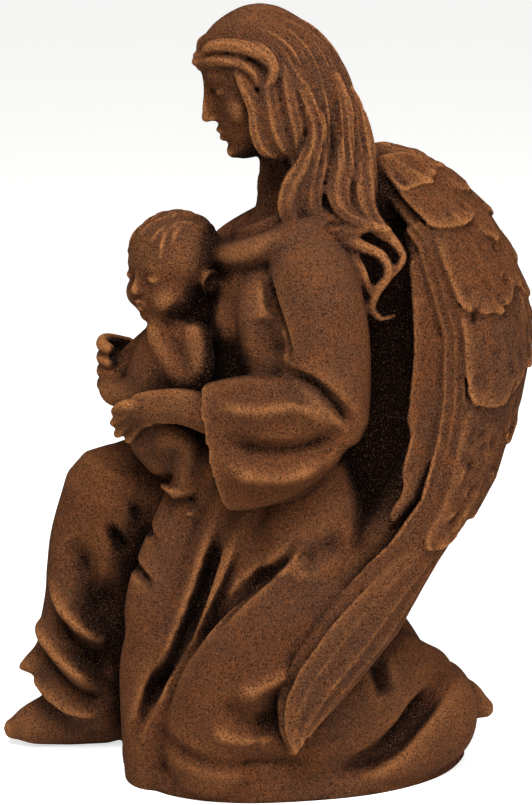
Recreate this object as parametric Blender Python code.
"""Kneeling angel holding an infant: one cast garden and grave ornament, modelled as one solid.

The figure kneels on its left knee with the right foot set forward, and faces -Y.
+X is its left side and +Z is up. The origin is the middle of the underside.
Every place and thickness is given in hundredths of the statue's height, in the list of forms below.
"""

import math

import bmesh
import bpy
import numpy as np
from mathutils import Euler, Matrix, Vector
from mathutils.bvhtree import BVHTree

# Driving dimensions, in metres.
STATUE_HEIGHT = 0.300
CLOTH_VOXEL = 0.0021
CAST_VOXEL = 0.0015
CAST_TRIANGLES = 9200
CAST_COLOUR = (0.16, 0.075, 0.04, 1.0)
CAST_ROUGHNESS = 0.9

# Proportions, in hundredths of the height.
HEAD_PLACE = (0.0, 1.5, 90.4)
HEAD_BOW = 17
HEAD_SIZE = 1.06
INFANT_HEAD_PLACE = (-1.0, -10.4, 66.8)
INFANT_HEAD_TURN = 30
COMBED_STRANDS = 6
COMBED_WIDTH = 1.5
WING_THICKNESS = 1.1
FEATHER_THICKNESS = 0.55
FEATHER_RISE = 1.1
RIM_WIDTH = 0.9
MOUTH_DEPTH = 2.4
DEPTH_MIDDLE = 1.2

PART = STATUE_HEIGHT / 100
SIDES = (1, -1)
FRONT = (0.0, -1.0, 0.0)
UP = (0.0, 0.0, 1.0)
CAP_RINGS = 3


def clear_scene():
    for old in list(bpy.data.objects):
        bpy.data.objects.remove(old)


def through(rows, per_span):
    """A smooth run of rows through the given rows, each a place with whatever sizes follow it."""
    rows = np.asarray(rows, float)
    padded = np.vstack([2 * rows[0] - rows[1], rows, 2 * rows[-1] - rows[-2]])
    shares = np.linspace(0, 1, per_span, endpoint=False)[:, None]
    spans = []
    for before, start, end, after in zip(padded, padded[1:], padded[2:], padded[3:]):
        spans.append(
            0.5 * (2 * start + (end - before) * shares
                   + (2 * before - 5 * start + 4 * end - after) * shares**2
                   + (3 * start - before - 3 * end + after) * shares**3)
        )
    return np.vstack(spans + [rows[-1:]])


class Clay:
    """Closed forms pressed together, before they are fused into one skin."""

    def __init__(self):
        self.points = []
        self.faces = []
        self.place = Matrix.Identity(4)

    def press(self, points, faces):
        start = sum(len(block) for block in self.points)
        moved = [self.place @ Vector(point) for point in points]
        self.points.append(np.array(moved) * PART)
        self.faces += [[start + corner for corner in face] for face in faces]

    def rings(self, rings):
        """A closed form from a run of rings, with a point at each end."""
        count, sides = len(rings), len(rings[0])
        points = [point for ring in rings for point in ring]
        faces = []
        for ring in range(count - 1):
            for side in range(sides):
                near, far = ring * sides, (ring + 1) * sides
                after = (side + 1) % sides
                faces.append([near + side, near + after, far + after, far + side])
        points += [np.mean(rings[0], axis=0), np.mean(rings[-1], axis=0)]
        last = (count - 1) * sides
        for side in range(sides):
            after = (side + 1) % sides
            faces.append([count * sides, after, side])
            faces.append([count * sides + 1, last + side, last + after])
        self.press(points, faces)

    def tube(self, rows, up=UP, sides=24, per_span=6, mouth=0.0):
        """A limb. Each row is x, y, z, half-width across and half-width along up.

        Its ends are round, but with a mouth the last one is hollowed to that depth.
        """
        rows = through([tuple(row) + (row[-1],) * (5 - len(row)) for row in rows], per_span)
        ways = np.gradient(rows[:, :3], axis=0)
        ways /= np.linalg.norm(ways, axis=1)[:, None]
        round_about = np.linspace(0, 2 * math.pi, sides, endpoint=False)[:, None]
        rings = []
        for index, (row, way) in enumerate(zip(rows, ways)):
            across = np.cross(up, way)
            across /= np.linalg.norm(across)
            along = np.cross(way, across)
            wide, deep = np.maximum(row[3:5], 0.05)
            ring = row[:3] + wide * np.cos(round_about) * across + deep * np.sin(round_about) * along
            end = {0: -1, len(rows) - 1: 1}.get(index)
            if end is None:
                rings.append(ring)
                continue
            if end > 0 and mouth:
                for share, depth in ((1.0, 0.0), (0.92, -0.3), (0.8, 0.1), (0.74, 0.5), (0.68, 1.0)):
                    rings.append(row[:3] - way * mouth * depth + (ring - row[:3]) * share)
                continue
            cap = []
            for turn in np.linspace(0, math.pi / 2, CAP_RINGS, endpoint=False):
                out = row[:3] + end * way * min(wide, deep) * math.sin(turn)
                cap.append(out + (ring - row[:3]) * math.cos(turn))
            rings += cap if end > 0 else cap[::-1]
        self.rings(rings)

    def stack(self, levels, sides=40, squareness=2.0):
        """A closed form of level slices. Each is its height, its front and back, and its half-width."""
        angles = np.linspace(0, 2 * math.pi, sides, endpoint=False)
        across = np.sign(np.cos(angles)) * np.abs(np.cos(angles)) ** (2 / squareness)
        along = np.sign(np.sin(angles)) * np.abs(np.sin(angles)) ** (2 / squareness)
        rings = []
        for height, front, back, wide in through(levels, 4):
            wide, deep = max(wide, 0.05), max((back - front) / 2, 0.05)
            rings.append(np.column_stack([wide * across, (front + back) / 2 + deep * along, np.full(sides, height)]))
        self.rings(rings)

    def ball(self, centre, radii, turn=(0, 0, 0), sides=28):
        """An ellipsoid, turned by three angles in degrees."""
        spin = Euler([math.radians(angle) for angle in turn]).to_matrix()
        rings = []
        for level in np.linspace(-math.pi / 2, math.pi / 2, sides // 2 + 1)[1:-1]:
            ring = []
            for angle in np.linspace(0, 2 * math.pi, sides, endpoint=False):
                unit = Vector((math.cos(angle) * math.cos(level), math.sin(angle) * math.cos(level),
                               math.sin(level)))
                ring.append(Vector(centre) + spin @ Vector(a * b for a, b in zip(unit, radii)))
            rings.append(np.array(ring))
        self.rings(rings)

    def mesh(self, name):
        mesh = bpy.data.meshes.new(name)
        mesh.from_pydata(np.vstack(self.points).tolist(), [], self.faces)
        return mesh


def mirrored(rows, side):
    return [(row[0] * side,) + tuple(row[1:]) for row in rows]


# Clothed body.


def torso(clay):
    clay.tube([(0, 3.4, 73, 4.2, 3.8), (0, 3.2, 69.5, 8.5, 5.6), (0, 2.0, 64, 10, 7.6),
               (0, 1.2, 58, 9.4, 7.4), (0, 1.8, 51, 8.4, 7.0), (0, 3.0, 44, 9.0, 8.0),
               (0, 4.0, 37, 11, 9.0), (0, 4.5, 30, 12, 9.5)], up=FRONT)
    for side in SIDES:
        clay.ball((3.4 * side, -2.8, 60.0), (4.2, 3.6, 4.6))
    clay.tube([(0, 10.0, 74.6, 2.4, 1.6), (6.0, 7.6, 74.0, 2.2, 1.6), (7.4, 3.2, 72.0, 2.2, 1.6),
               (4.4, -1.2, 70.0, 2.2, 1.6), (0, -2.6, 69.2, 2.2, 1.6), (-4.4, -1.2, 70.0, 2.2, 1.6),
               (-7.4, 3.2, 72.0, 2.2, 1.6), (-6.0, 7.6, 74.0, 2.2, 1.6), (0, 10.0, 74.6, 2.4, 1.6)])


def sleeve(clay, side):
    """A full sleeve whose wide mouth is open in front."""
    clay.tube(mirrored([(7.6, 4.6, 70.6, 3.8, 4.4), (10.2, 5.4, 66.5, 4.8, 5.6), (11.8, 6.2, 60.5, 5.0, 6.0),
                        (12.6, 6.6, 54.5, 5.2, 5.8), (12.8, 6.0, 49.5, 5.0, 6.2)], side), up=FRONT)
    clay.tube(mirrored([(13.0, 7.0, 49.6, 4.6, 4.6), (13.0, 4.4, 48.4, 4.8, 6.6), (12.7, 0.6, 47.2, 4.8, 8.2),
                        (11.6, -3.4, 46.2, 4.6, 8.6), (10.3, -6.4, 45.5, 4.4, 8.4)], side), mouth=MOUTH_DEPTH)


def far_leg(clay):
    clay.tube([(-6.5, 6, 33, 8, 8.5), (-7.8, -3, 34.5, 7.2, 7.8), (-8.3, -11, 34.8, 7, 7.6),
               (-8.4, -15.5, 34.6, 6.6, 7.6)])
    clay.tube([(-8.3, -16.8, 34.5, 7.0, 8), (-8.5, -19.6, 28, 6.6, 7), (-8.8, -20.8, 21, 6.4, 6.4),
               (-9, -21.6, 14, 7, 6.8), (-9, -21.4, 10, 7.4, 7.0), (-9, -20.5, 7.5, 6.8, 6.2)], up=FRONT)
    clay.tube([(-8.6, -22, 16, 5.0, 4.0), (-8.9, -26.4, 12.6, 3.8, 2.8), (-9.1, -29.4, 11.4, 1.8, 1.3),
               (-9.2, -30.6, 11.0, 0.7, 0.6)])
    clay.tube([(-8.5, -19, 3.6, 3.8, 3.8), (-8.8, -25, 3.6, 3.6, 3.8), (-9.1, -29.4, 2.8, 3, 2.8),
               (-9.4, -31.8, 2.2, 1.7, 1.5)])


def near_leg(clay):
    clay.tube([(7, 11, 26.5, 8.5, 9.2), (8.8, 5.6, 25.0, 8.2, 8.6), (9.8, 0.2, 20.4, 7.6, 8.2),
               (10.4, -4.4, 14.6, 7.2, 7.6), (10.5, -6.6, 9.4, 6.9, 7.2), (10.5, -7.0, 5.0, 7.2, 7.0)])
    clay.tube([(10.4, -6, 5.5, 6.4, 7), (11, 4, 6.5, 6.0, 7.6), (10.2, 11, 8.6, 5.8, 8.6),
               (7.6, 16.4, 9.4, 5.8, 9.2), (4.6, 21, 8.6, 5.4, 7.4)])
    clay.tube([(14.6, 7, 1, 2, 2), (14.2, 13, 2.6, 2.4, 3), (12.6, 18.8, 4.2, 3.0, 4), (9.6, 23.6, 6.6, 3.8, 5.2),
               (5.5, 25.2, 7.6, 3.4, 4.8), (0, 25.4, 7.4, 3, 4.4), (-6, 23.6, 5, 3, 4), (-11, 18, 3, 3, 3.4)])
    clay.tube([(3, 24, 8.0, 3, 3.2), (2.2, 28, 6.6, 2.8, 3.0), (1.8, 31, 5.2, 1.5, 1.4)])


def skirt(clay):
    clay.tube([(-2, -4, 32, 8, 7), (-1, -6, 20, 8, 8), (0, -7, 8, 8, 8), (0, -7, 1, 9, 8)], up=FRONT)
    clay.tube([(0, 5, 33, 10, 8), (0, 7, 24, 11, 9), (0, 8, 12, 12, 11), (0, 8, 2, 12, 12)], up=FRONT)
    clay.tube([(1, -8, 37.5, 3.6, 3.8), (2, -10.4, 31, 4.2, 4.4), (3, -12.8, 24, 4.6, 4.8),
               (4.4, -14.4, 15, 4.6, 4.4), (5.2, -15, 7, 4.6, 3.8), (5.4, -15, 0, 5, 3.4)], up=FRONT)
    clay.tube([(5.4, -4.6, 36, 2.0), (6.6, -6.8, 28, 2.1), (7.8, -9.8, 21, 1.9), (8.8, -12.6, 16, 1.4)], up=FRONT)
    clay.tube([(7.4, -0.4, 36, 2.2), (8.4, -3.4, 29.5, 2.2), (8.8, -6.6, 24, 1.7)], up=FRONT)
    clay.tube([(9, 4.4, 36, 2.4), (9.6, 1.0, 31.6, 2.0)], up=FRONT)
    clay.tube([(-8.4, -8, 30, 5.6, 6.0), (-9.0, -7.4, 18, 6.0, 6.0), (-9.6, -7, 5, 6.4, 6.4)], up=FRONT)
    clay.tube([(-8.6, 1, 30, 5.6, 6.0), (-9.4, 2, 18, 6.2, 6.4), (-10.0, 3, 5, 6.6, 7.0)], up=FRONT)
    clay.tube([(-7.6, 9, 28, 5.5, 6.0), (-8.2, 11, 17, 6.0, 6.4), (-8.6, 13, 6, 6.6, 7.0)], up=FRONT)
    clay.tube([(0, 13.0, 28, 6.0, 5.4), (0, 13.6, 20, 6.4, 5.2), (0, 16.6, 13, 6.6, 6.0), (0, 19.4, 7, 7.2, 6.6)],
              up=FRONT)


def base(clay):
    """The low mound under the figure, with a rolled rim."""
    edge = [(0, -18.0), (6, -17.2), (12.1, -13.6), (15.6, -7.4), (17.0, -1.2), (17.0, 9.0), (15.2, 16.6),
            (11.4, 23.0), (5.6, 27.2), (0, 28.4)]
    edge = through(edge, 5)
    outline = np.vstack([edge, edge[-2:0:-1] * (-1, 1)])
    middle = np.array((0, 5.0))
    rings = []
    for height, share in ((-3, 1.0), (0, 1.0), (1.2, 1.0), (2.4, 0.985), (3.6, 0.94), (5.2, 0.84), (6.2, 0.6)):
        flat = middle + (outline - middle) * share
        rings.append(np.column_stack([flat, np.full(len(flat), height)]))
    clay.rings(rings)


def cloth_forms(clay):
    torso(clay)
    for side in SIDES:
        sleeve(clay, side)
    far_leg(clay)
    near_leg(clay)
    skirt(clay)
    base(clay)


# Head, hands and infant.


# Level slices of the face, as height, front, back and half-width.
FACE_LEVELS = [(7.4, -4.0, 4.0, 4.0), (5.4, -6.5, 5.0, 5.4), (3.8, -7.15, 5.0, 5.8), (2.5, -7.3, 5.0, 5.9),
               (1.2, -6.95, 5.0, 5.8), (-0.4, -6.9, 5.0, 5.65), (-2.0, -7.05, 4.6, 5.35), (-3.4, -7.15, 4.2, 4.9),
               (-4.8, -7.0, 3.2, 4.2), (-5.9, -6.75, 1.8, 3.4), (-6.9, -6.9, 0.2, 2.6), (-7.8, -6.4, -1.6, 1.8),
               (-8.3, -5.2, -3.0, 0.9)]


def head(clay):
    clay.place = (Matrix.Translation(HEAD_PLACE) @ Matrix.Rotation(math.radians(HEAD_BOW), 4, "X")
                  @ Matrix.Scale(HEAD_SIZE, 4))
    clay.ball((0, 0.4, 1.4), (5.9, 7.2, 5.8))
    clay.stack(FACE_LEVELS, squareness=2.25)
    clay.tube([(0, -6.7, 2.6, 0.8, 0.7), (0, -7.0, 0.8, 0.8, 0.8), (0, -7.6, -0.8, 0.9, 0.9),
               (0, -8.0, -2.0, 1.1, 0.85)], up=FRONT)
    clay.tube([(-1.5, -6.5, -4.5, 0.5, 0.6), (0, -7.0, -4.4, 0.7, 0.8), (1.5, -6.5, -4.5, 0.5, 0.6)])
    clay.ball((0, -6.3, -6.9), (1.3, 0.95, 0.9))
    for side in SIDES:
        clay.ball((2.9 * side, -4.6, -1.7), (2.4, 1.8, 2.3))
        clay.ball((2.5 * side, -5.75, 0.75), (1.35, 0.95, 0.85))
    clay.place = Matrix.Identity(4)
    clay.tube([(0, 4.2, 84, 3.7, 3.7), (0, 3.9, 78, 3.4, 3.5), (0, 4.0, 71, 5, 4.4)], up=FRONT)


# Level slices of the combed hair, as height, front, back and half-width.
HAIR_LEVELS = [(99.8, -0.2, 1.2, 0.8), (99.4, -1.9, 3.0, 2.6), (98.3, -3.8, 5.1, 4.4), (97.0, -5.1, 7.0, 5.6),
               (95, -6.4, 9.2, 6.8), (92, -6.9, 11.3, 7.5), (89, -4.0, 12.5, 7.7), (86, -1.2, 12.8, 7.8),
               (83, 0.2, 12.8, 7.8), (80, 1.2, 14.2, 7.9), (76, 2.4, 15.2, 8.3), (71, 4.0, 15.4, 8.8),
               (65, 5.0, 15.0, 9.0), (58, 6.0, 14.0, 7.6), (52, 7.0, 12.2, 5.0)]
# Lines of the combing from the temple and from the crown to the neck, as y and z.
COMBED_FRONT = [(-5.6, 97.2), (-2.6, 96.6), (0.6, 95.2), (2.4, 92.4), (4.5, 88.8), (5.7, 86), (5.9, 83.3), (4.4, 79.5)]
COMBED_BACK = [(1.0, 99.6), (5.6, 97.7), (9.2, 94.8), (11.4, 91.4), (12.4, 88.0), (12.6, 85.0), (12.8, 82.0),
               (14.0, 78.0)]


def shell_place(side, y, z):
    """A place on the combed hair, given as seen from the side."""
    levels = np.array(HAIR_LEVELS)[::-1]
    front, back, wide = (np.interp(z, levels[:, 0], levels[:, column]) for column in (1, 2, 3))
    middle, deep = (front + back) / 2, (back - front) / 2
    share = np.clip((y - middle) / deep, -0.98, 0.98)
    return side * wide * math.sqrt(1 - share * share), middle + share * deep, z


def combed(clay, side):
    """Broad strands laid side by side over the head."""
    for strand in range(COMBED_STRANDS):
        share = (strand + 0.5) / COMBED_STRANDS
        guide = np.array(COMBED_FRONT) * (1 - share) + np.array(COMBED_BACK) * share
        rows = []
        for y, z in through(guide, 3):
            x, back, height = shell_place(side, y, z)
            rows.append((x * 0.9, back - 0.08 * (back - 3), height - 0.7, COMBED_WIDTH, COMBED_WIDTH))
        clay.tube(rows, up=FRONT, sides=12, per_span=1)


def hair(clay):
    clay.stack(HAIR_LEVELS)
    for side in SIDES:
        combed(clay, side)
        clay.tube(mirrored([(3.6, -6.2, 93.6, 1.6, 1.4), (6.0, -3.4, 92.8, 1.9, 1.8), (7.0, -0.6, 89.6, 1.7, 2.4),
                            (7.0, 0.4, 85.6, 1.7, 2.6), (6.6, 1.2, 82.6, 1.6, 2.2)], side), up=FRONT)
        clay.tube(mirrored([(6.0, 0.6, 95.4, 1.6, 1.4), (7.6, 4.0, 90, 1.4, 1.6), (8.2, 6.4, 85.5, 1.4, 1.6),
                            (8.0, 5.4, 81.5, 1.6, 2.0), (7.4, 3.6, 77.5, 1.8, 2.2), (7.4, 3.4, 74.4, 1.7, 1.8)],
                           side), up=FRONT)
        clay.tube(mirrored([(7.8, 9.6, 84, 1.4, 1.8), (8.4, 9.0, 79, 1.6, 2.0), (8.8, 8.0, 75.5, 1.6, 2.0),
                            (8.8, 8.0, 73.4, 1.2, 1.4)], side), up=FRONT)
        clay.tube(mirrored([(7.0, 12.0, 82, 1.6, 2.0), (8.4, 11.8, 77, 2.0, 2.4), (9.6, 11.0, 73.4, 1.9, 2.1),
                            (11.0, 11.8, 70.4, 1.3, 1.5), (11.8, 12.8, 66.4, 1.0, 1.1), (11.6, 13.2, 63.0, 0.9, 0.9),
                            (11.4, 14.6, 62.0, 0.7, 0.7)], side), up=FRONT)
    clay.tube([(-4.4, -5.0, 94.2, 1.4, 1.3), (-1.6, -6.6, 93.6, 1.3, 1.4), (0.6, -6.9, 93.4, 1.3, 1.5),
               (3.0, -5.9, 94.3, 1.4, 1.3), (5.2, -3.6, 95.0, 1.4, 1.3)])


def infant(clay):
    clay.place = (Matrix.Translation(INFANT_HEAD_PLACE) @ Matrix.Rotation(math.radians(INFANT_HEAD_TURN), 4, "Z")
                  @ Matrix.Rotation(math.radians(6), 4, "X"))
    clay.ball((0, 0.4, 1.0), (5.8, 6.4, 5.9))
    clay.ball((0, -2.2, -2.6), (4.9, 3.9, 4.6))
    for side in SIDES:
        clay.ball((2.4 * side, -4.0, -3.0), (2.2, 1.9, 2.2))
        clay.ball((5.6 * side, 0.8, -1.6), (0.8, 1.3, 1.7), (0, 0, 12 * side))
    clay.ball((0, -6.0, -1.6), (0.9, 0.9, 0.8))
    clay.ball((0, -5.2, -3.8), (1.7, 1.2, 1.1))
    clay.ball((0, -4.4, -5.6), (1.9, 1.6, 1.4))
    clay.place = Matrix.Identity(4)
    clay.ball((-1.5, -6.4, 61.5), (3.0, 3.0, 3.6))
    clay.tube([(-1, -9.8, 61, 2.6, 2.4), (-0.6, -10.6, 58, 4.6, 3.6), (-0.8, -12.2, 52, 5.0, 4.6),
               (-0.6, -12.2, 46, 5.2, 4.8), (-0.2, -11.2, 43.4, 5.0, 4.6)], up=FRONT)
    clay.tube([(3.4, -8.4, 58.4, 2.1), (4.9, -8.2, 54.6, 2.1), (4.4, -9.4, 52.4, 2.1), (3.6, -11.4, 55.0, 1.9),
               (2.6, -13.0, 58.0, 1.5), (2.0, -13.2, 60.0, 1.2), (1.6, -12.9, 61.6, 0.6)], up=FRONT)
    clay.tube([(-4.4, -11.6, 57, 2.2), (-4.6, -16.4, 52.6, 2.2), (-3.0, -18.2, 50.4, 2.0), (0, -16.2, 50.2, 1.8),
               (2.2, -13.8, 51.2, 1.5), (3.0, -12.8, 51.4, 1.2)])
    clay.tube([(0.6, -12.6, 44.4, 3.4), (3.4, -11.2, 45.6, 2.9), (4.6, -9.6, 44.6, 2.4), (4.6, -9.8, 41.4, 1.8),
               (4.4, -10.0, 39.6, 1.7)])
    clay.tube([(4.4, -9.0, 39.2, 1.6, 1.5), (4.4, -11.0, 38.6, 1.7, 1.3)])
    clay.tube([(1, -8, 43.4, 3.2), (3.8, -6.8, 42.8, 2.6), (4.4, -6.9, 39.4, 1.9), (4.3, -7.4, 36.8, 1.7)])
    clay.tube([(4.2, -6.6, 36.2, 1.6, 1.4), (4.2, -8.4, 35.4, 1.7, 1.3)])


def hands(clay):
    clay.tube([(11, -4.5, 48.6, 2.6, 2.8), (8.8, -10.2, 50.4, 1.8, 2.4), (6.8, -13.8, 50.2, 1.4, 2.2),
               (5.4, -16, 49.8, 1.2, 1.9)])
    near_tips = ((5.6, -17.6, 50.2, 3.4, -18.8, 49.0), (5.2, -17.2, 49.2, 3.0, -18.9, 47.4),
                 (4.6, -16.8, 48.2, 2.6, -18.4, 45.8), (4.2, -15.8, 47.4, 2.6, -17.0, 45.0))
    for x, y, z, tip_x, tip_y, tip_z in near_tips:
        clay.tube([(6.0, -14.6, 49.8 - (50.2 - z) * 0.5, 0.9), (x, y, z, 0.9), (tip_x, tip_y, tip_z, 0.75)])
    clay.tube([(-10.6, -5, 48.4, 2.6, 2.8), (-9.2, -11, 50.4, 1.8, 2.6), (-7.8, -15.6, 52.6, 1.3, 3.0)])
    for rank in range(4):
        height = 56.2 - 1.8 * rank
        clay.tube([(-8.0, -15.6, height - 1.0, 1.0), (-6.6, -18.6, height, 1.0), (-4.4, -19.4, height - 0.2, 0.95),
                   (-3.0, -18.6, height - 0.5, 0.8)])


# Wings.

WING_LEAD = [(4, 13.4, 79.6), (8.4, 15.9, 75.2), (11.3, 19.2, 70.8), (12.8, 20.8, 64.9), (14, 22.2, 59.5),
             (15, 22.0, 51.5), (15.5, 21.0, 45.5), (16, 19.0, 38.7), (16.4, 15, 33.4), (16.8, 11.4, 30.4),
             (17.2, 6.8, 26.1), (17.4, 2.6, 20.7), (17.4, 0.4, 17), (17.4, -0.4, 13.6), (17.4, -0.1, 9.7),
             (17.4, 1.3, 6.6)]
WING_TRAIL = [(2.6, 18.6, 80.2), (2.4, 23.8, 77.8), (2.4, 28.2, 72.6), (2.4, 31.6, 66.8), (2.4, 33.4, 61.8),
              (2.8, 33.6, 56.0), (4, 31.2, 48.6), (6, 28.4, 42.6), (9.4, 24.2, 35.6), (11.6, 21.0, 31.7),
              (13.2, 18.0, 26.6), (14.2, 15.2, 22.0), (15.4, 11.4, 17.8), (16.4, 7.6, 13.8), (17, 4.2, 10.6),
              (17.3, 2.5, 7.4)]


# Each feather: where it starts and ends along the wing, and its span across it.
FEATHERS = [
    (6.6, 14.9, 0.02, 0.42), (6.4, 14.6, 0.30, 0.74), (6.2, 14.2, 0.60, 0.98),
    (4.6, 8.1, 0.06, 0.64), (5.2, 7.6, 0.52, 1.0), (4.6, 6.9, 0.72, 1.06), (4.0, 6.1, 0.48, 0.9),
    (3.1, 5.3, 0.04, 0.62), (3.0, 5.2, 0.5, 0.88), (3.0, 4.65, 0.68, 1.07),
    (1.5, 3.8, 0.02, 0.64), (1.7, 3.35, 0.54, 1.06), (0.9, 2.6, 0.46, 0.86), (0.8, 2.1, 0.7, 1.08),
    (0.4, 2.0, 0.02, 0.64), (0.3, 1.6, 0.5, 1.05), (0.0, 1.05, 0.02, 0.66), (0.0, 0.85, 0.48, 1.0),
]


def wing_place(along, across, lift):
    """A place on the near wing. Along counts the rows of its two edges and across goes from front to back."""
    index = min(int(along), len(WING_LEAD) - 2)
    places = []
    for step in (index, index + 1):
        lead, trail = np.array(WING_LEAD[step], float), np.array(WING_TRAIL[step], float)
        before, after = max(step - 1, 0), min(step + 1, len(WING_LEAD) - 1)
        way = np.subtract(WING_LEAD[after], WING_LEAD[before]) + np.subtract(WING_TRAIL[after], WING_TRAIL[before])
        out = np.cross(trail - lead, way)
        out /= np.linalg.norm(out) * math.copysign(1, out[0])
        bulge = 0.72 * across * (1 - across) * np.linalg.norm(trail - lead)
        places.append(lead + (trail - lead) * across + out * (bulge + lift))
    return places[0] + (places[1] - places[0]) * (along - index)


def wing(clay, side):
    """A folded wing: a curved blade with rows of overlapping feathers on its outer face."""
    mirror = np.array((side, 1, 1))
    rings = []
    shares = np.linspace(0, 1, 9)
    for along in np.linspace(0, len(WING_LEAD) - 1, 46):
        ring = []
        for sign in (1, -1):
            for across in shares[::sign]:
                thick = WING_THICKNESS * math.sin(math.pi * min(max(across, 0.06), 0.94)) ** 0.5
                ring.append(wing_place(along, across, sign * thick) * mirror)
        rings.append(np.array(ring))
    clay.rings(rings)
    clay.tube(mirrored([(1.6, 8, 75, 3, 4), (3.6, 13, 76.4, 2.8, 4.4), (5.4, 18, 76.2, 2.4, 4.0)], side))
    rim = []
    for along in np.linspace(0.6, 9.6, 28):
        spot = wing_place(along, 0.02, 0.0)
        size = min(RIM_WIDTH, 0.2 + (10.4 - along) / 4)
        rim.append((spot[0] * side, spot[1], spot[2], size, size))
    clay.tube(rim, up=FRONT, sides=14, per_span=1)
    for start, end, front, back in FEATHERS:
        feather(clay, side, start, end, front, back)


def feather(clay, side, start, end, front, back):
    """One feather: a thin lens with a blunt tip that stands off the blade."""
    mirror = np.array((side, 1, 1))
    middle, half = (front + back) / 2, (back - front) / 2
    rings = []
    for share, wide in ((0, 0.6), (0.25, 0.92), (0.55, 1.0), (0.8, 0.97), (0.92, 0.78), (0.98, 0.5), (1, 0.2)):
        along = min(start + (end - start) * share, len(WING_LEAD) - 1.01)
        ring = []
        for sign in (1, -1):
            for edge in np.linspace(-1, 1, 5)[::sign]:
                thick = sign * FEATHER_THICKNESS * (1 - 0.6 * edge * edge)
                lift = WING_THICKNESS + 0.1 + FEATHER_RISE * share + thick
                ring.append(wing_place(along, middle + half * wide * edge, lift) * mirror)
        rings.append(np.array(ring))
    clay.rings(rings)


def between_wings(clay):
    """The back of the cast between the wing roots, which closes the hollow behind the arms."""
    clay.tube([(0, 13, 75, 4.2, 6.5), (0, 16, 69, 5.0, 9.5), (0, 18.5, 62, 5.4, 11.5), (0, 18.5, 54, 5.6, 12),
               (0, 17, 46, 6.0, 11.5), (0, 15, 38, 7.0, 10), (0, 12.5, 31, 8.4, 8)], up=FRONT, sides=32)
    for side in SIDES:
        clay.tube(mirrored([(4.2, 20.5, 72, 2.6, 4.0), (5.0, 25.0, 66, 3.0, 4.4), (5.4, 27.6, 59, 3.2, 4.4),
                            (6.0, 26.4, 51, 3.4, 4.2), (7.6, 23.0, 44, 3.4, 4.0), (9.6, 18.4, 37, 3.4, 3.8),
                            (11.4, 13.6, 31, 3.4, 3.4)], side), up=FRONT)


# Carved folds. Each path is given by its y and z as seen from one side of the figure.


def carve(mesh, strokes):
    """Raises ridges and cuts grooves along paths laid on one side of the mesh."""
    count = len(mesh.vertices)
    points = np.empty(count * 3, np.float32)
    normals = np.empty(count * 3, np.float32)
    mesh.vertices.foreach_get("co", points)
    mesh.vertex_normals.foreach_get("vector", normals)
    points, normals = points.reshape(-1, 3) / PART, normals.reshape(-1, 3)
    surface = bmesh.new()
    surface.from_mesh(mesh)
    tree = BVHTree.FromBMesh(surface)
    surface.free()
    moves = np.zeros_like(points)
    for side, width, height, path in strokes:
        laid, sizes = [], []
        for share, (y, z) in zip(np.linspace(0, 1, 6 * len(path) - 5), through(path, 6)):
            hit = tree.ray_cast(Vector((40 * side, y, z)) * PART, Vector((-side, 0, 0)))[0]
            if hit is None or hit.x * side < 0:
                continue
            laid.append(np.array(hit) / PART)
            sizes.append(min(1.0, 4 * share + 0.15, 4 * (1 - share) + 0.15))
        if not laid:
            continue
        laid = np.array(laid)
        for again in range(4):
            laid[1:-1, 0] = (laid[:-2, 0] + 2 * laid[1:-1, 0] + laid[2:, 0]) / 4
        found = [tree.find_nearest(Vector(place) * PART)[:2] for place in laid]
        laid = np.array([place for place, normal in found]) / PART
        facing = np.array([normal for place, normal in found])
        low, high = laid.min(axis=0) - 2.5 * width, laid.max(axis=0) + 2.5 * width
        near = np.flatnonzero(((points > low) & (points < high)).all(axis=1))
        gaps = np.linalg.norm(points[near, None] - laid[None], axis=2)
        pick = gaps.argmin(axis=1)
        gap = gaps[np.arange(len(near)), pick] / width
        same_face = np.clip((normals[near] * facing[pick]).sum(axis=1) * 2 + 0.6, 0, 1)
        size = height * np.array(sizes)[pick] * np.exp(-gap * gap) * same_face
        moves[near] += normals[near] * size[:, None]
    mesh.vertices.foreach_set("co", ((points + moves) * PART).ravel())
    mesh.update()


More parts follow.
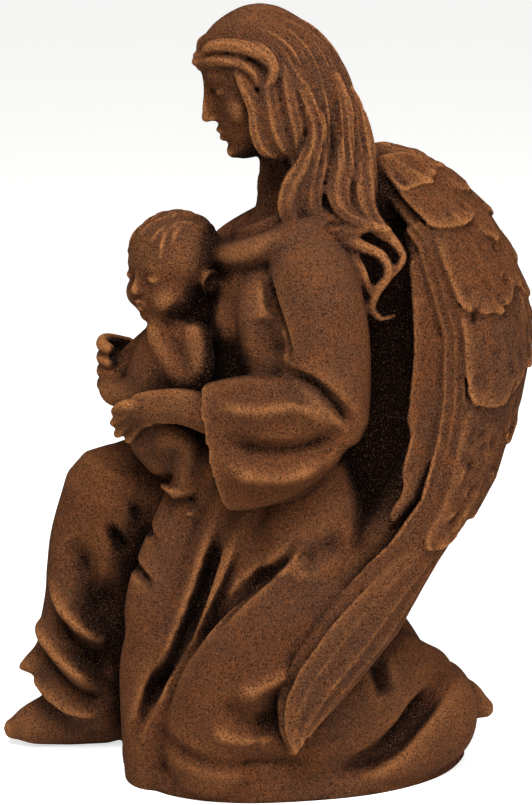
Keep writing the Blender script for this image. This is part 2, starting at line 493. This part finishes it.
NEAR, FAR = 1, -1
CLOTH_STROKES = [
    # Skirt between the legs.
    (NEAR, 0.9, -2.2, [(-6.3, 33.6), (-8.2, 28.1), (-11.0, 21.2), (-14.7, 14.1), (-17.6, 7.4)]),
    (NEAR, 0.8, -1.4, [(-3.6, 33.5), (-5.8, 25.4), (-9.4, 21.0), (-11.5, 18.8)]),
    (NEAR, 0.7, -1.2, [(3.0, 34.3), (-0.6, 29.7), (-4.9, 26.0)]),
    (NEAR, 0.9, -1.4, [(9.4, 34.0), (5.5, 33.8), (1.7, 32.4), (-1.6, 29.4), (-6.0, 25.6), (-10.4, 20.2), (-12.6, 17)]),
    (NEAR, 1.0, -1.8, [(-11.8, 39.0), (-12.5, 33.6), (-14.4, 29.2), (-16.2, 24.8), (-17.3, 21), (-18.3, 13.9)]),
    (NEAR, 0.8, -1.0, [(-10.4, 37.0), (-10.2, 33.0), (-10.0, 29.0)]),
    # Lower leg set forward.
    (NEAR, 0.9, -1.2, [(-19.4, 32.6), (-16.8, 28.8), (-14.8, 26.4)]),
    (NEAR, 0.7, -0.8, [(-16.0, 35.0), (-13.6, 31.4)]),
    (NEAR, 2.2, -1.6, [(-24.6, 30.2), (-21.6, 23.4), (-18.0, 19.0)]),
    (NEAR, 1.3, 1.3, [(-26.6, 24.6), (-24.1, 19.6), (-20.8, 17.0), (-18.0, 17.0)]),
    (NEAR, 1.2, -1.0, [(-27.0, 20.6), (-24.6, 16.4), (-21.0, 13.4), (-19.0, 13.2)]),
    (NEAR, 1.3, 1.2, [(-28.4, 18.4), (-26.6, 15.6), (-24.0, 12.6), (-20.6, 10.4)]),
    (NEAR, 1.0, -0.9, [(-28.6, 14.6), (-26.4, 11.4), (-23.0, 8.8), (-19.4, 8.4)]),
    (NEAR, 1.0, 0.9, [(-29.6, 11.4), (-27.2, 9.0), (-24.2, 7.0), (-19.6, 6.2)]),
    # Kneeling leg.
    (NEAR, 1.4, 1.0, [(1.7, 18.0), (-1.7, 16.6), (-5.6, 14.9)]),
    (NEAR, 1.3, -1.6, [(-7.8, 14.4), (-5.7, 12.5), (-2.8, 10.8), (1.0, 10.3)]),
    (NEAR, 1.2, 0.9, [(-9.0, 10.4), (-5.0, 9.0), (0.0, 8.6)]),
    (NEAR, 1.1, -1.5, [(-15.0, 8.4), (-11.7, 6.6), (-7.0, 5.4), (0.0, 5.2), (5.0, 5.0)]),
    # Hem behind.
    (NEAR, 1.2, -1.8, [(13.2, 17.4), (14.0, 15.0), (14.7, 12.6)]),
    (NEAR, 1.5, -2.6, [(22.8, 11.8), (19.2, 9.8), (16.3, 6.8), (12.8, 4.6), (8.3, 3.4)]),
    # Sleeve.
    (NEAR, 0.9, -1.5, [(0.0, 67.4), (0.2, 64.7), (1.0, 61.2), (1.7, 57.2)]),
    (NEAR, 0.6, -0.8, [(-0.9, 64.8), (0.2, 62.6), (1.2, 60.6)]),
    (NEAR, 2.2, -1.6, [(0.6, 59.5), (-1.4, 57.2), (-3.2, 57.4)]),
    (NEAR, 1.6, -1.3, [(-7.4, 47.6), (-2.4, 46.2), (3.4, 46.4), (8.4, 48.6)]),
    (NEAR, 1.6, 1.0, [(-6.6, 43.8), (-0.1, 43.4), (5.5, 44.9)]),
    (NEAR, 0.8, -1.2, [(1.0, 55.8), (4.2, 54.6), (7.4, 51.6), (9.4, 49.4)]),
    (NEAR, 1.2, 0.8, [(-7.6, 51.6), (-3.0, 51.2), (2.0, 51.8), (6.0, 50.4)]),
    (NEAR, 0.7, -0.7, [(-2.5, 67.9), (-0.6, 68.4), (1.8, 70.2), (3.5, 71.6)]),
    # Far side, plainer.
    (FAR, 0.9, -1.5, [(0.0, 67.4), (0.2, 64.7), (1.0, 61.2), (1.7, 57.2)]),
    (FAR, 1.6, -1.3, [(-7.4, 47.6), (-2.4, 46.2), (3.4, 46.4), (8.4, 48.6)]),
    (FAR, 1.6, 1.0, [(-6.6, 43.8), (-0.1, 43.4), (5.5, 44.9)]),
    (FAR, 0.8, -1.2, [(1.0, 55.8), (4.2, 54.6), (7.4, 51.6), (9.4, 49.4)]),
    (FAR, 1.6, -1.0, [(-25.0, 31.0), (-20.0, 24.0), (-15.5, 20.0)]),
    (FAR, 1.5, 0.9, [(-26.6, 24.0), (-22.0, 18.0), (-16.5, 14.0)]),
    (FAR, 1.5, -0.9, [(-27.0, 17.0), (-23.0, 12.0), (-18.0, 9.0)]),
    (FAR, 1.5, -1.8, [(-12.6, 29.0), (-13.0, 18.0), (-13.4, 5.0)]),
    (FAR, 1.4, -1.4, [(-4.0, 28.0), (-4.0, 18.0), (-5.0, 6.0)]),
    (FAR, 1.6, -1.5, [(4.5, 28.0), (6.0, 18.0), (7.6, 6.0)]),
    (FAR, 1.4, 1.0, [(0.4, 26.0), (1.0, 16.0), (1.6, 7.0)]),
]


# Fusing and finishing.


def evaluated(mesh, modifiers):
    """The mesh after these modifiers, each given as its type and settings."""
    holder = bpy.data.objects.new("holder", mesh)
    bpy.context.scene.collection.objects.link(holder)
    for kind, settings in modifiers:
        modifier = holder.modifiers.new(kind.title(), kind)
        for key, value in settings.items():
            setattr(modifier, key, value)
    graph = bpy.context.evaluated_depsgraph_get()
    made = bpy.data.meshes.new_from_object(holder.evaluated_get(graph))
    bpy.data.objects.remove(holder)
    return made


def keep_largest(shape):
    """Leaves only the outer skin, without closed pockets inside it."""
    left = set(shape.verts)
    groups = []
    while left:
        group, edge = set(), [left.pop()]
        while edge:
            vertex = edge.pop()
            group.add(vertex)
            for link in vertex.link_edges:
                other = link.other_vert(vertex)
                if other in left:
                    left.remove(other)
                    edge.append(other)
        groups.append(group)
    groups.sort(key=len)
    for group in groups[:-1]:
        for vertex in group:
            shape.verts.remove(vertex)


def mend_pinches(shape):
    """Opens each edge where two walls touch, and closes each wall again on its own."""
    for again in range(8):
        pinched = {vertex for edge in shape.edges if len(edge.link_faces) != 2 for vertex in edge.verts}
        if not pinched:
            return
        bmesh.ops.delete(shape, geom=list(pinched), context="VERTS")
        rims = [edge for edge in shape.edges if edge.is_boundary]
        filled = bmesh.ops.holes_fill(shape, edges=rims)["faces"]
        bmesh.ops.triangulate(shape, faces=filled)


def flatten_underside(shape):
    geometry = shape.verts[:] + shape.edges[:] + shape.faces[:]
    cut = bmesh.ops.bisect_plane(shape, geom=geometry, plane_co=(0, 0, 0), plane_no=(0, 0, -1), clear_outer=True)
    rims = [part for part in cut["geom_cut"] if isinstance(part, bmesh.types.BMEdge)]
    bmesh.ops.holes_fill(shape, edges=rims)
    bmesh.ops.triangulate(shape, faces=shape.faces[:])


def main():
    clear_scene()
    clay = Clay()
    cloth_forms(clay)
    cloth = evaluated(clay.mesh("cloth"), [
        ("REMESH", {"mode": "VOXEL", "voxel_size": CLOTH_VOXEL}),
        ("SMOOTH", {"factor": 0.5, "iterations": 5}),
    ])
    carve(cloth, CLOTH_STROKES)
    clay = Clay()
    head(clay)
    hair(clay)
    infant(clay)
    hands(clay)
    between_wings(clay)
    for side in SIDES:
        wing(clay, side)
    shape = bmesh.new()
    shape.from_mesh(cloth)
    shape.from_mesh(clay.mesh("figure"))
    joined = bpy.data.meshes.new("joined")
    shape.to_mesh(joined)
    shape.free()
    fused = evaluated(joined, [
        ("REMESH", {"mode": "VOXEL", "voxel_size": CAST_VOXEL}),
        ("SMOOTH", {"factor": 0.5, "iterations": 1}),
    ])
    triangles = 2 * len(fused.polygons)
    cast = evaluated(fused, [("DECIMATE", {"ratio": CAST_TRIANGLES / triangles})])
    shape = bmesh.new()
    shape.from_mesh(cast)
    flatten_underside(shape)
    mend_pinches(shape)
    keep_largest(shape)
    bmesh.ops.translate(shape, verts=shape.verts, vec=(0, -DEPTH_MIDDLE * PART, 0))
    shape.to_mesh(cast)
    shape.free()
    cast.name = "kneeling_angel"
    angel = bpy.data.objects.new("kneeling_angel", cast)
    bpy.context.scene.collection.objects.link(angel)
    stone = bpy.data.materials.new("rust_brown_cast_stone")
    stone.use_nodes = True
    shader = stone.node_tree.nodes["Principled BSDF"]
    shader.inputs["Base Color"].default_value = CAST_COLOUR
    shader.inputs["Roughness"].default_value = CAST_ROUGHNESS
    cast.materials.append(stone)


main()
